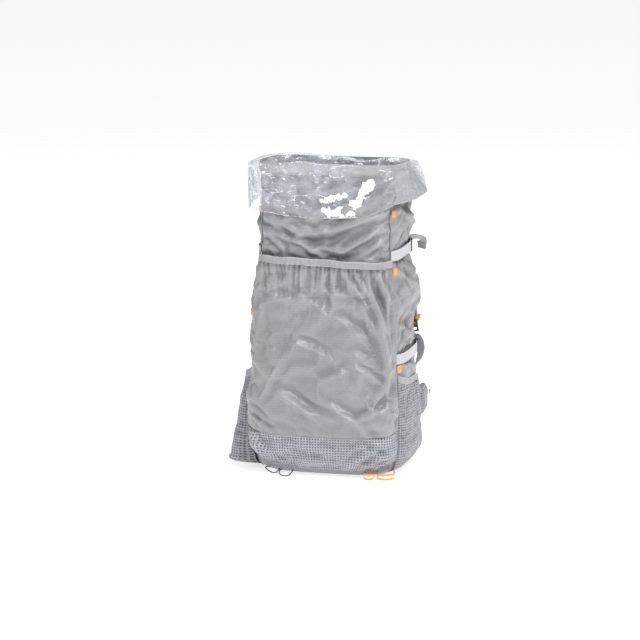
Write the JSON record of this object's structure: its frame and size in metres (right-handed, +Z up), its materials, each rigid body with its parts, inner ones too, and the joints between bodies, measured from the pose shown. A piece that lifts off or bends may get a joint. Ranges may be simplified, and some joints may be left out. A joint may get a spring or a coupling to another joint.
{
  "type": "roll-top backpack with liner",
  "caption": "Tall roll-top hiking pack standing open, with stretch-mouth pockets, frame stay, harness, hip belt and a clear liner bag cuffed over its collar.",
  "frame": {"origin": "middle of the flat base, on the floor the pack stands on", "axes": "+Z up to the open top; -Y out of the front pocket; +Y towards the wearer, where the harness and hip belt are; +X to the right seen from the front"},
  "size_m": [0.3536, 0.4014, 0.6078],
  "materials": {
    "ripstop_grey": "satin",
    "gridstop_grey": "matte",
    "elastic_grey": "matte",
    "webbing_light": "matte",
    "webbing_grey": "matte",
    "tape_orange": "matte",
    "tape_striped": "matte",
    "padding_grey": "matte",
    "mesh_grey": "matte",
    "cord_black": "matte",
    "plastic_black": "satin",
    "tube_aluminium": "satin",
    "film_clear": "gloss"
  },
  "bodies": {
    "pack": {"base_panel": "gridstop_grey", "front_panel": "ripstop_grey", "side_panel_left": "ripstop_grey", "side_panel_right": "ripstop_grey", "back_panel": "ripstop_grey", "collar": "ripstop_grey", "collar_hem": "webbing_grey", "rolltop_buckles": "plastic_black", "frame_stay": "tube_aluminium", "stay_end_caps": "plastic_black", "back_pad": "padding_grey", "pad_mesh_upper": "mesh_grey", "pad_mesh_lower": "mesh_grey", "front_pocket": "ripstop_grey", "front_pocket_band": "elastic_grey", "front_pocket_apron": "gridstop_grey", "side_pocket_left": "gridstop_grey", "side_pocket_right": "gridstop_grey", "side_pocket_band_left": "elastic_grey", "side_pocket_band_right": "elastic_grey", "side_strap_upper_left": "webbing_light", "side_strap_upper_right": "webbing_light", "side_strap_lower_left": "webbing_light", "side_strap_lower_right": "webbing_light", "side_strap_keepers": "plastic_black", "strap_tails": "webbing_grey", "gear_loops_left": "tape_orange", "gear_loops_right": "tape_orange", "tool_loops": "tape_striped", "pole_cord_outer": "cord_black", "pole_cord_inner": "cord_black", "lumbar_pad": "mesh_grey", "lower_webbing_left": "webbing_grey", "lower_webbing_right": "webbing_grey"},
    "haul": {"haul_loop": "webbing_grey"},
    "liner": {"liner": "film_clear"},
    "harness": {"harness_yoke": "padding_grey", "shoulder_strap_left": "padding_grey", "shoulder_strap_right": "padding_grey", "strap_adjusters": "plastic_black", "strap_pulls": "tape_orange"},
    "sternum": {"sternum_sliders": "plastic_black", "sternum_strap_left": "webbing_grey", "sternum_buckle_female": "plastic_black"},
    "sternum_clip": {"sternum_strap_right": "webbing_grey", "sternum_buckle_male": "plastic_black"},
    "wing_left": {"hip_wing_left": "padding_grey", "hip_pouch_left": "gridstop_grey", "hip_strap_left": "webbing_light", "hip_buckle_female": "plastic_black"},
    "wing_right": {"hip_wing_right": "padding_grey", "hip_pouch_right": "gridstop_grey", "hip_strap_right": "webbing_light", "hip_buckle_male": "plastic_black"},
    "pull_left": {"zip_pull_left": "tape_orange"},
    "pull_right": {"zip_pull_right": "tape_orange"}
  },
  "joints": [
    {"name": "liner_lift", "type": "slide", "parent": "pack", "child": "liner", "axis": [0, 0, 1], "range_m": [0, 0.55]},
    {"name": "haul_loop_swing", "type": "hinge", "parent": "pack", "child": "haul", "pos_m": [0, 0.1068, 0.504], "axis": [1, 0, 0], "range_deg": [0, 35]},
    {"name": "harness_swing", "type": "hinge", "parent": "pack", "child": "harness", "pos_m": [0, 0.1194, 0.474], "axis": [1, 0, 0], "range_deg": [0, 35], "deforming": ["lower_webbing_left", "lower_webbing_right"]},
    {"name": "sternum_height", "type": "slide", "parent": "harness", "child": "sternum", "axis": [0, 0, 1], "range_m": [-0.03, 0.03]},
    {"name": "sternum_release", "type": "slide", "parent": "sternum", "child": "sternum_clip", "axis": [1, 0, 0], "range_m": [0, 0.03]},
    {"name": "hip_wing_left_fold", "type": "hinge", "parent": "pack", "child": "wing_left", "pos_m": [-0.0865, 0.126, 0.106], "axis": [0, 0, -1], "range_deg": [-20, 9]},
    {"name": "hip_wing_right_fold", "type": "hinge", "parent": "pack", "child": "wing_right", "pos_m": [0.0865, 0.126, 0.106], "axis": [0, 0, 1], "range_deg": [-20, 9]},
    {"name": "hip_zip_left", "type": "slide", "parent": "wing_left", "child": "pull_left", "axis": [-0.0698, -0.9976, 0], "range_m": [0, 0.04]},
    {"name": "hip_zip_right", "type": "slide", "parent": "wing_right", "child": "pull_right", "axis": [0.0698, -0.9976, 0], "range_m": [0, 0.04]}
  ]
}
